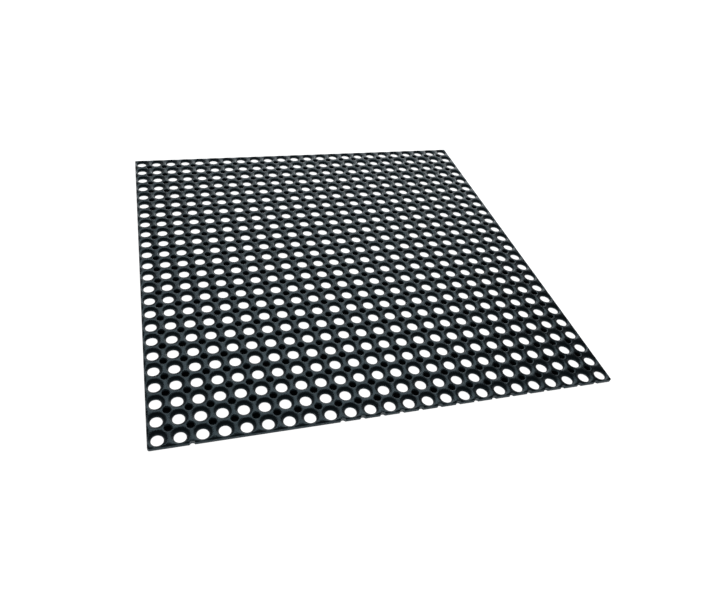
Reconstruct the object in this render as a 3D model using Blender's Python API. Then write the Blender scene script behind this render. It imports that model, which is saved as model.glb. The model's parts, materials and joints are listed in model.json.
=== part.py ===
"""Rubber ring mat: a square black mat moulded as a lattice of round drain holes.

The rubber bends most easily along the thin rubber between two rows of holes, so
each row is its own solid and turns about the bend line that it shares with the
row in front of it. Row 1 is the front row. Each later row hangs on the row before
it, and its origin lies on that bend line, so turning an object about X bends the
mat there and carries every row behind it.

Frame: metres, +Z up, X along the rows, Y from the front row to the back row. The
origin is at the middle of the underside.
"""
import math

import bmesh
import bpy
from mathutils import Matrix

# Driving dimensions, in metres
MAT_WIDTH = 0.900  # overall, along the rows
MAT_DEPTH = 0.900  # overall, across the rows
THICKNESS = 0.010
HOLE_DIAMETER = 0.0220
EDGE_MARGIN = 0.0168  # from the outer edge to the centres of the outer holes
ROW_GAP = 0.0004  # clear gap between two rows at the bend line
EDGE_CHAMFER = 0.0012  # along the outer edges, top and bottom

# Counts and angles
COLUMNS = 24
ROWS = 24
HOLE_SIDES = 8
BEND_CLEARANCE = math.radians(36)  # two rows can bend this far before they touch

# Finish of the rubber
RUBBER_COLOUR = (0.012, 0.013, 0.015, 1.0)
RUBBER_ROUGHNESS = 0.62

# Worked out from the driving dimensions
COLUMN_PITCH = (MAT_WIDTH - 2 * EDGE_MARGIN) / (COLUMNS - 1)
ROW_PITCH = (MAT_DEPTH - 2 * EDGE_MARGIN) / (ROWS - 1)
HALF_THICKNESS = THICKNESS / 2
BEND_SET_BACK = HALF_THICKNESS * math.tan(BEND_CLEARANCE / 2)
FRONT_EDGE = -MAT_DEPTH / 2
CUT_OVERRUN = 0.005  # how far a hole's cutter stands out of both faces


def clear_scene():
    for obj in list(bpy.data.objects):
        bpy.data.objects.remove(obj, do_unlink=True)


def make_rubber():
    rubber = bpy.data.materials.new("black_rubber")
    rubber.use_nodes = True
    shader = rubber.node_tree.nodes["Principled BSDF"]
    shader.inputs["Base Color"].default_value = RUBBER_COLOUR
    shader.inputs["Roughness"].default_value = RUBBER_ROUGHNESS
    shader.inputs["Metallic"].default_value = 0.0
    rubber.diffuse_color = RUBBER_COLOUR
    return rubber


def bend_side(y, outward):
    """Side of a row at a bend line, bottom to top: a ridge at mid-thickness.

    The faces lean back by half of the bend, so two rows can turn to either side.
    """
    ridge = y - outward * ROW_GAP / 2
    lip = ridge - outward * BEND_SET_BACK
    return [(lip, -HALF_THICKNESS), (ridge, 0.0), (lip, HALF_THICKNESS)]


def outer_side(y, outward):
    """Outer side of the first or last row, bottom to top, with both edges chamfered."""
    lip = y - outward * EDGE_CHAMFER
    shoulder = HALF_THICKNESS - EDGE_CHAMFER
    return [(lip, -HALF_THICKNESS), (y, -shoulder), (y, shoulder), (lip, HALF_THICKNESS)]


def bar_mesh(name, section):
    """Bar along X whose cross-section is the outline in `section`, as (y, z) points."""
    bm = bmesh.new()
    outline = [bm.verts.new((-MAT_WIDTH / 2, y, z)) for y, z in section]
    end_cap = bm.faces.new(outline)
    extruded = bmesh.ops.extrude_face_region(bm, geom=[end_cap])["geom"]
    moved = [item for item in extruded if isinstance(item, bmesh.types.BMVert)]
    bmesh.ops.translate(bm, verts=moved, vec=(MAT_WIDTH, 0, 0))
    bmesh.ops.recalc_face_normals(bm, faces=bm.faces)
    mesh = bpy.data.meshes.new(name)
    bm.to_mesh(mesh)
    bm.free()
    return mesh


def hole_cutter(hole_y):
    """A row of upright prisms, each with the same area as the round hole it cuts."""
    sector = 2 * math.pi / HOLE_SIDES
    radius = HOLE_DIAMETER / 2 * math.sqrt(sector / math.sin(sector))
    bm = bmesh.new()
    flats_along_row = Matrix.Rotation(sector / 2, 4, "Z")
    for column in range(COLUMNS):
        x = -MAT_WIDTH / 2 + EDGE_MARGIN + column * COLUMN_PITCH
        bmesh.ops.create_cone(
            bm, cap_ends=True, segments=HOLE_SIDES, radius1=radius, radius2=radius,
            depth=THICKNESS + 2 * CUT_OVERRUN,
            matrix=Matrix.Translation((x, hole_y, 0)) @ flats_along_row)
    mesh = bpy.data.meshes.new("hole_cutter")
    bm.to_mesh(mesh)
    bm.free()
    cutter = bpy.data.objects.new("hole_cutter", mesh)
    cutter.hide_render = True
    cutter.display_type = "WIRE"
    bpy.context.collection.objects.link(cutter)
    return cutter


def row_mesh(name, front_side, back_side, hole_y, rubber):
    """One row: the bar between two sides, with its round holes cut through."""
    bar = bpy.data.objects.new(name, bar_mesh(name, front_side + back_side[::-1]))
    bpy.context.collection.objects.link(bar)
    cutter = hole_cutter(hole_y)
    cut = bar.modifiers.new("holes", "BOOLEAN")
    cut.operation = "DIFFERENCE"
    cut.solver = "EXACT"
    cut.object = cutter
    evaluated = bar.evaluated_get(bpy.context.evaluated_depsgraph_get())
    mesh = bpy.data.meshes.new_from_object(evaluated)
    mesh.name = name
    mesh.materials.clear()
    mesh.materials.append(rubber)
    bpy.data.objects.remove(bar, do_unlink=True)
    bpy.data.objects.remove(cutter, do_unlink=True)
    return mesh


def build_mat():
    rubber = make_rubber()
    to_bend_line = EDGE_MARGIN + ROW_PITCH / 2  # from an outer edge to the first bend line
    to_hole = ROW_PITCH / 2  # from a bend line to the holes of the row behind it
    front_mesh = row_mesh("front_row", outer_side(-to_bend_line, -1), bend_side(0, 1),
                          -to_hole, rubber)
    inner_mesh = row_mesh("inner_row", bend_side(0, -1), bend_side(ROW_PITCH, 1),
                          to_hole, rubber)
    back_mesh = row_mesh("back_row", bend_side(0, -1), outer_side(to_bend_line, 1),
                         to_hole, rubber)

    row_in_front = None
    for number in range(1, ROWS + 1):
        mesh = {1: front_mesh, ROWS: back_mesh}.get(number, inner_mesh)
        row = bpy.data.objects.new(f"ring_row_{number:02d}", mesh)
        bpy.context.collection.objects.link(row)
        if number == 1:
            row.location = (0, FRONT_EDGE + to_bend_line, HALF_THICKNESS)
        elif number == 2:
            row.parent = row_in_front
        else:
            row.parent = row_in_front
            row.location = (0, ROW_PITCH, 0)
        row_in_front = row


clear_scene()
build_mat()
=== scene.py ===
"""Rubber ring mat: a moulded lattice of round holes with rounded ring tops and deep dimples.

The mat is one surface, made cell by cell and cut into strips that run from the hole
centres of one row to the hole centres of the next. Each strip takes the place of the
two rows that it joins.
"""
import json
import math

import bmesh
import bpy
import numpy as np
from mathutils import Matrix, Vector


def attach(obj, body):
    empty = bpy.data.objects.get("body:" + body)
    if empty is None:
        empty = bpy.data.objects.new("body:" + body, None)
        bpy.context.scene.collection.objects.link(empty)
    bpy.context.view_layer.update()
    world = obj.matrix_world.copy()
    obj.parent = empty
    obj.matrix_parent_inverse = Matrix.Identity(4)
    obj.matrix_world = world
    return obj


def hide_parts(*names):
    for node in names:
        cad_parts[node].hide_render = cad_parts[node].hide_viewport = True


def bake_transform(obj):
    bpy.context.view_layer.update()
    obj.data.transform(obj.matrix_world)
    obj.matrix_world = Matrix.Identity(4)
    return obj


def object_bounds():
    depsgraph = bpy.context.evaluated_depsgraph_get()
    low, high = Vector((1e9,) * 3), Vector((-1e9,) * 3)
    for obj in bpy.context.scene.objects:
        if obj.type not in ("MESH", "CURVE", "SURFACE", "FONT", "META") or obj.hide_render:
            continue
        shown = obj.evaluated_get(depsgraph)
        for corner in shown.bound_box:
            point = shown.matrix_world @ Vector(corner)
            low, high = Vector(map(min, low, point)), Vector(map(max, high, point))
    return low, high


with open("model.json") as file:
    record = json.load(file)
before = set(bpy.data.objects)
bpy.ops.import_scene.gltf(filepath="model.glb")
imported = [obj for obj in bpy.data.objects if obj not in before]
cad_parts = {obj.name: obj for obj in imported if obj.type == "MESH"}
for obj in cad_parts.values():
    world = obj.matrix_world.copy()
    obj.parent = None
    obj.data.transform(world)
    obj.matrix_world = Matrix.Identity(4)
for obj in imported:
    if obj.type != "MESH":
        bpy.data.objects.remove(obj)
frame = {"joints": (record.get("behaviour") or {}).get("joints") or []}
cad_low, cad_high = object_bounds()

# Lattice, read from the frame
ROWS = 24
COLUMNS = 24
ROW_NODES = [f"ring_row_{k:02d}" for k in range(1, ROWS + 1)]
BENDS = {j["name"]: j for j in frame["joints"]}
BEND_Y = [BENDS[f"bend_{k:02d}"]["pos_m"][1] for k in range(1, ROWS)]
PITCH = (BEND_Y[-1] - BEND_Y[0]) / (ROWS - 2)
FRONT_EDGE = cad_low.y
MARGIN = BEND_Y[0] - PITCH / 2 - FRONT_EDGE  # from an outer edge to the outer hole centres
HEIGHT = cad_high.z - cad_low.z
FIRST_X = cad_low.x + MARGIN
FIRST_Y = FRONT_EDGE + MARGIN

# Section of the rubber, as shares of the pitch
HOLE = 0.283         # radius of the hole at its waist, where it is narrowest
WAIST = 0.100        # height of the waist
FOOT = 0.330         # radius of the hole at the underside of the lattice
BASE = 0.030         # height of that underside above the floor
DIMPLE = 0.195       # radius of the rounded mouth of the dimple between four holes
DIMPLE_FLOOR = 0.030
NOTCH = 0.135        # radius of the notches in the outer edges
STUD = 0.225         # radius of the hollow stud under each dimple, at the lattice
STUD_FOOT = 0.205    # and on the floor
RIM = 0.255          # height of the rim along the outer edges
RIM_ROUND = 0.045    # rounding of the rim's outer edge
RIM_TUCK = 0.020     # how far the rim draws in at its underside
RIM_SILL = 0.035     # height of that draw above the underside
RIM_WIDTH = 0.070    # width of the low rim, before the surface climbs to the ring tops
RIM_CLIMB = 0.100    # width of that climb
CORNER_CUT = 0.030   # the four outer corners are drawn in by this
STUD_ROUND = 0.012   # height of the rounding at the foot of a stud

# Notches in the front edge, each between hole i and hole i + 1 counted from the left
LONE_NOTCH = 1
FIRST_NOTCH = 8      # from here to the right there is one at every gap

# Mesh density
ARC = 5              # segments on each straight of a quarter cell
BOW = 7              # segments on the dimple's quarter circle
RISE = 7             # rings from the waist up to the crest
SINK = 2             # rings from the waist down to the underside
WELD = 0.0004        # points closer than this are joined, as a share of the pitch
CREASE = 50          # edges sharper than this stay crisp, in degrees

MARGIN_SHARE = MARGIN / PITCH
TOP = HEIGHT / PITCH


def height(r, edge):
    """Height of the upper surface, r out from the hole centre and edge in from the rim."""
    v = np.clip((r - HOLE) / (0.5 - HOLE), 0, 1)
    z = WAIST + (TOP - WAIST) * np.sqrt(1 - (1 - v) ** 2)
    w = np.clip(edge / RIM_ROUND, 0, 1)
    rim = RIM - RIM_ROUND * (1 - np.sqrt(1 - (1 - w) ** 2))
    slope = np.clip((edge - RIM_WIDTH) / RIM_CLIMB, 0, 1)
    return np.minimum(z, rim + (TOP - RIM) * slope * slope * (3 - 2 * slope))


class Surface:
    """Collects faces for one strip, in units of the pitch."""

    def __init__(self):
        self.points, self.faces = [], []

    def grid(self, rows, flip=False):
        """rows is an array (m, n, 3) of points; neighbouring points are joined into quads."""
        m, n = rows.shape[:2]
        start = len(self.points)
        self.points.extend(rows.reshape(-1, 3).tolist())
        for a in range(m - 1):
            for b in range(n - 1):
                i = start + a * n + b
                quad = (i, i + 1, i + n + 1, i + n)
                self.faces.append(quad[::-1] if flip else quad)


def round_path(half_x, half_y, bow):
    """Outer path of a quarter cell, its corner cut by a circle of radius bow round the dimple.

    The dimple's centre is half a pitch from the hole on both sides, also past an outer edge.
    """
    y_start = 0.5 - math.sqrt(bow ** 2 - (0.5 - half_x) ** 2)
    x_start = 0.5 - math.sqrt(bow ** 2 - (0.5 - half_y) ** 2)
    a0 = math.atan2(y_start - 0.5, half_x - 0.5) % (2 * math.pi)
    a1 = math.atan2(half_y - 0.5, x_start - 0.5) % (2 * math.pi)
    path = [(half_x, y_start * t / ARC) for t in range(ARC)]
    for t in range(BOW + 1):
        a = a0 + (a1 - a0) * t / BOW
        path.append((0.5 + bow * math.cos(a), 0.5 + bow * math.sin(a)))
    return np.array(path + [(x_start * (ARC - t) / ARC, half_y) for t in range(1, ARC + 1)])


def square_path(half_x, half_y, cut):
    """Outer path of a quarter cell with a plain corner, drawn in by cut."""
    first = (ARC * 2 + BOW) // 2
    rest = ARC * 2 + BOW - first
    side = [(half_x, (half_y - cut) * t / first) for t in range(first)]
    end = [((half_x - cut) * (rest - t) / rest, half_y) for t in range(1, rest + 1)]
    return np.array(side + [(half_x - cut, half_y - cut)] + end)


def quarter(cx, cy, sx, sy, half_x, half_y, dimple, surface):
    """A quarter of a cell, from the hole centre (cx, cy) towards (sx, sy).

    half_x and half_y say how far it reaches: half a pitch, or the margin at an outer
    edge. dimple says whether the corner holds a quarter of a dimple or of a notch.
    """
    rim_x, rim_y = half_x < 0.5, half_y < 0.5
    inside = not (rim_x or rim_y)
    flip = sx * sy > 0

    def add(rings, heights, turn=False):
        x, y = cx + sx * rings[..., 0], cy + sy * rings[..., 1]
        surface.grid(np.stack([x, y, heights], -1), flip != turn)

    if dimple:
        outer = round_path(half_x, half_y, DIMPLE if inside else NOTCH)
    else:
        outer = square_path(half_x, half_y, CORNER_CUT if rim_x and rim_y else 0.0)
    count = len(outer)
    angle = np.arctan2(outer[:, 1], outer[:, 0])
    waist = HOLE * np.stack([np.cos(angle), np.sin(angle)], -1)

    # upper surface, from the waist of the hole over the crest
    share = 1 - np.cos(np.linspace(0, math.pi / 2, RISE + 1))[:, None, None]
    rings = waist * (1 - share) + outer * share
    edge = np.full(rings.shape[:2], 9.0)
    if rim_x:
        edge = np.minimum(edge, half_x - rings[..., 0])
    if rim_y:
        edge = np.minimum(edge, half_y - rings[..., 1])
    z = height(np.hypot(rings[..., 0], rings[..., 1]), edge)
    add(rings, z)

    # wall of the hole, from the foot up to the waist
    a = np.linspace(0, 1, SINK + 1)[:, None]
    wall = waist * (FOOT - (FOOT - HOLE) * a[..., None]) / HOLE
    add(wall, BASE + (WAIST - BASE) * a * np.ones(count))

    under = outer.copy()
    if inside and dimple:
        under = round_path(half_x, half_y, STUD)
        centre = np.array([0.5, 0.5])
        top, low = outer[ARC:ARC + BOW + 1], under[ARC:ARC + BOW + 1]
        lip = z[-1][ARC:ARC + BOW + 1]
        # dimple: a rounded mouth, a steep wall and a flat floor
        steps = ((1.0, 0.0), (0.94, 0.05), (0.87, 0.15), (0.80, 0.32),
                 (0.74, 0.55), (0.68, 0.82), (0.60, 1.0), (0.0, 1.0))
        add(np.array([centre + (top - centre) * share for share, drop in steps]),
            np.array([lip + (DIMPLE_FLOOR - lip) * drop for share, drop in steps]))
        # stud: the outside of the same cup, standing on the floor
        foot = STUD_FOOT / STUD
        steps = ((1.0, BASE), (foot, STUD_ROUND), (foot - 0.05, 0.0), (0.0, 0.0))
        add(np.array([centre + (low - centre) * share for share, level in steps]),
            np.array([np.full(BOW + 1, level) for share, level in steps]), turn=True)
    if not inside:
        # outer face of the rim and of its notches
        corner = ARC if dimple else (ARC * 2 + BOW) // 2
        last = ARC + BOW if dimple else corner
        index = np.arange(0 if rim_x else corner, count if rim_y else last + 1)
        under[index] -= (RIM_TUCK if rim_x else 0, RIM_TUCK if rim_y else 0)
        face = np.stack([outer[index], outer[index], under[index]])
        sill = np.full(len(index), BASE + RIM_SILL)
        add(face, np.stack([z[-1][index], sill, np.full(len(index), BASE)]))
    add(np.stack([wall[0], under]), np.full((2, count), BASE), turn=True)


def cell_quarter(surface, column, row, sx, sy):
    """column and row count holes from the left and the front."""
    rim_x = column == (0 if sx < 0 else COLUMNS - 1)
    rim_y = row == (0 if sy < 0 else ROWS - 1)
    gap = column if sx > 0 else column - 1
    notch = rim_y and not rim_x and sy < 0 and (gap == LONE_NOTCH or gap >= FIRST_NOTCH)
    half_x = MARGIN_SHARE if rim_x else 0.5
    half_y = MARGIN_SHARE if rim_y else 0.5
    quarter(column, row, sx, sy, half_x, half_y, notch or not (rim_x or rim_y), surface)


def strip_object(name, row_below):
    """The strip from the hole centres of row_below to those of the next row.

    -1 gives the front edge and the last row gives the back edge.
    """
    surface = Surface()
    for column in range(COLUMNS):
        for sx in (-1, 1):
            if row_below >= 0:
                cell_quarter(surface, column, row_below, sx, 1)
            if row_below + 1 < ROWS:
                cell_quarter(surface, column, row_below + 1, sx, -1)
    p = np.array(surface.points)
    p[:, 0] = FIRST_X + p[:, 0] * PITCH
    p[:, 1] = FIRST_Y + p[:, 1] * PITCH
    p[:, 2] = cad_low.z + p[:, 2] * PITCH
    mesh = bpy.data.meshes.new(name)
    mesh.from_pydata(p.tolist(), [], surface.faces)
    mesh.update()
    obj = bpy.data.objects.new(name, mesh)
    bpy.context.scene.collection.objects.link(obj)
    return obj


def weld_and_smooth(obj):
    """Joins the quarter cells into one surface, smooth but for its real creases."""
    bm = bmesh.new()
    bm.from_mesh(obj.data)
    bmesh.ops.remove_doubles(bm, verts=bm.verts, dist=PITCH * WELD)
    bmesh.ops.dissolve_degenerate(bm, edges=bm.edges, dist=PITCH * WELD)
    for f in bm.faces:
        f.smooth = True
    for e in bm.edges:
        if len(e.link_faces) == 2 and e.calc_face_angle(0) > math.radians(CREASE):
            e.smooth = False
    bm.to_mesh(obj.data)
    bm.free()


def rubber():
    """Black rubber: matt in the holes and dimples, glossier on the ring tops. Its base colour has painted
    shade: near-black down in the holes and dimples, a little lighter on the ring tops.
    """
    m = bpy.data.materials.new("black_rubber")
    m.use_nodes = True
    n, l = m.node_tree.nodes, m.node_tree.links
    shader = n["Principled BSDF"]
    shader.inputs["Specular Tint"].default_value = (0.60, 0.87, 1.0, 1)

    def attribute(name):
        node = n.new("ShaderNodeAttribute")
        node.attribute_name = name
        return node

    def noise(scale, detail):
        node = n.new("ShaderNodeTexNoise")
        node.inputs["Scale"].default_value = scale
        node.inputs["Detail"].default_value = detail
        l.new(place.outputs["Vector"], node.inputs["Vector"])
        return node

    def remap(value, low, high, to_low, to_high):
        node = n.new("ShaderNodeMapRange")
        for key, number in (("From Min", low), ("From Max", high), ("To Min", to_low), ("To Max", to_high)):
            node.inputs[key].default_value = number
        l.new(value, node.inputs["Value"])
        return node.outputs["Result"]

    def maths(kind, a, b):
        node = n.new("ShaderNodeMath")
        node.operation = kind
        l.new(a, node.inputs[0])
        l.new(b, node.inputs[1])
        return node.outputs["Value"]

    place, polish_and_shade = attribute("rest_place"), attribute("polish_and_shade")
    grain, pores, patches = noise(1500, 2), noise(420, 3), noise(28, 4)
    # painted shade: the base colour is darkest low in the holes and dimples and lightest on the ring tops,
    # set by height, with random patches of tone
    tint = n.new("ShaderNodeValToRGB")
    tint.color_ramp.elements[0].color = (0.0012, 0.0021, 0.0027, 1)
    tint.color_ramp.elements[1].color = (0.0035, 0.0061, 0.0077, 1)
    amount = maths("MULTIPLY", polish_and_shade.outputs["Fac"], remap(patches.outputs["Fac"], 0.3, 0.7, 0.55, 1.0))
    l.new(amount, tint.inputs["Fac"])
    l.new(tint.outputs["Color"], shader.inputs["Base Color"])
    matt = remap(polish_and_shade.outputs["Fac"], 0.0, 1.0, 0.66, 0.24)
    uneven = remap(patches.outputs["Fac"], 0.3, 0.7, -0.05, 0.07)
    l.new(maths("ADD", matt, uneven), shader.inputs["Roughness"])
    bump = n.new("ShaderNodeBump")
    bump.inputs["Strength"].default_value = 0.35
    bump.inputs["Distance"].default_value = 0.0003
    l.new(maths("ADD", grain.outputs["Fac"], pores.outputs["Fac"]), bump.inputs["Height"])
    l.new(bump.outputs["Normal"], shader.inputs["Normal"])
    return m


def add_attributes(mesh):
    """Adds rest_place, which keeps the grain still as the mat bends, and polish_and_shade.

    polish_and_shade grows from 0 on the floor to 1 on the ring tops. It sets the roughness, and it sets the
    painted shade in the base colour, which is near-black low in the holes and dimples.
    """
    co = np.zeros(len(mesh.vertices) * 3, np.float32)
    mesh.vertices.foreach_get("co", co)
    rest_place = mesh.attributes.new("rest_place", "FLOAT_VECTOR", "POINT")
    rest_place.data.foreach_set("vector", co)
    up = np.clip((co.reshape(-1, 3)[:, 2] - cad_low.z) / HEIGHT, 0, 1)
    polish_and_shade = mesh.attributes.new("polish_and_shade", "FLOAT", "POINT")
    polish_and_shade.data.foreach_set("value", (up ** 1.2).astype(np.float32))


material = rubber()
for k in range(-1, ROWS):
    if k < 0:
        obj = strip_object("edge_front", k)
    elif k == ROWS - 1:
        obj = strip_object("edge_back", k)
    else:
        obj = strip_object(f"rings_{k + 1:02d}", k)
    weld_and_smooth(obj)
    add_attributes(obj.data)
    obj.data.materials.append(material)
    if k < 0:
        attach(obj, "row_01")
        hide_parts(ROW_NODES[0])
    elif k == ROWS - 1:
        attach(obj, f"row_{ROWS:02d}")
        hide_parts(ROW_NODES[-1])
    else:
        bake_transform(obj)
        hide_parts(ROW_NODES[k], ROW_NODES[k + 1])

# Floor, light and camera
REACH = 12.0
FLOOR_Z = -0.0002
corners = ((-1, -1), (1, -1), (1, 1), (-1, 1))
floor_mesh = bpy.data.meshes.new("floor")
floor_mesh.from_pydata([(x * REACH, y * REACH, FLOOR_Z) for x, y in corners], [], [(0, 1, 2, 3)])
floor = bpy.data.objects.new("floor", floor_mesh)
bpy.context.scene.collection.objects.link(floor)
paper = bpy.data.materials.new("pale_floor")
paper.use_nodes = True
paper_shader = paper.node_tree.nodes["Principled BSDF"]
paper_shader.inputs["Base Color"].default_value = (0.60, 0.60, 0.60, 1)
paper_shader.inputs["Roughness"].default_value = 0.9
paper_shader.inputs["Specular IOR Level"].default_value = 0.2
paper_shader.inputs["Emission Color"].default_value = (1, 1, 1, 1)
paper_shader.inputs["Emission Strength"].default_value = 1.0
floor_mesh.materials.append(paper)

world = bpy.data.worlds.new("studio")
bpy.context.scene.world = world
world.use_nodes = True
world_nodes, world_links = world.node_tree.nodes, world.node_tree.links
# pale all round the horizon, dim overhead
direction = world_nodes.new("ShaderNodeTexCoord")
split = world_nodes.new("ShaderNodeSeparateXYZ")
sky = world_nodes.new("ShaderNodeValToRGB")
sky.color_ramp.elements[0].color = (0.92, 0.935, 0.95, 1)
sky.color_ramp.elements[1].color = (0.085, 0.087, 0.09, 1)
sky.color_ramp.elements.new(0.10).color = (0.66, 0.67, 0.68, 1)
sky.color_ramp.elements.new(0.32).color = (0.135, 0.138, 0.14, 1)
world_links.new(direction.outputs["Generated"], split.inputs["Vector"])
world_links.new(split.outputs["Z"], sky.inputs["Fac"])
world_links.new(sky.outputs["Color"], world_nodes["Background"].inputs["Color"])


def softbox(name, place, wide, tall, radiance):
    """Rectangular light aimed at the middle of the mat."""
    data = bpy.data.lights.new(name, "AREA")
    data.shape = "RECTANGLE"
    data.size, data.size_y = wide, tall
    data.energy = radiance * math.pi * wide * tall
    light = bpy.data.objects.new(name, data)
    light.location = place
    light.rotation_euler = (-Vector(place)).to_track_quat("-Z", "Y").to_euler()
    light.visible_camera = False
    bpy.context.scene.collection.objects.link(light)


softbox("back_strip", (1.20, 3.2, 0.75), 3.4, 0.7, 2.4)
softbox("back_softbox", (0.95, 2.9, 1.70), 3.2, 1.3, 1.05)
softbox("high_softbox", (0.30, 1.9, 2.80), 3.2, 1.3, 2.1)
bpy.context.scene.view_settings.view_transform = "Standard"

camera_data = bpy.data.cameras.new("camera")
camera_data.sensor_width = 36
camera_data.lens = 30.63
camera_data.shift_x = 0.0334
camera_data.shift_y = 0.0007
camera = bpy.data.objects.new("camera", camera_data)
camera.location = (-0.3795, -1.0288, 0.8894)
camera.rotation_euler = [math.radians(a) for a in (46.199, -5.884, -14.098)]
bpy.context.scene.collection.objects.link(camera)
bpy.context.scene.camera = camera
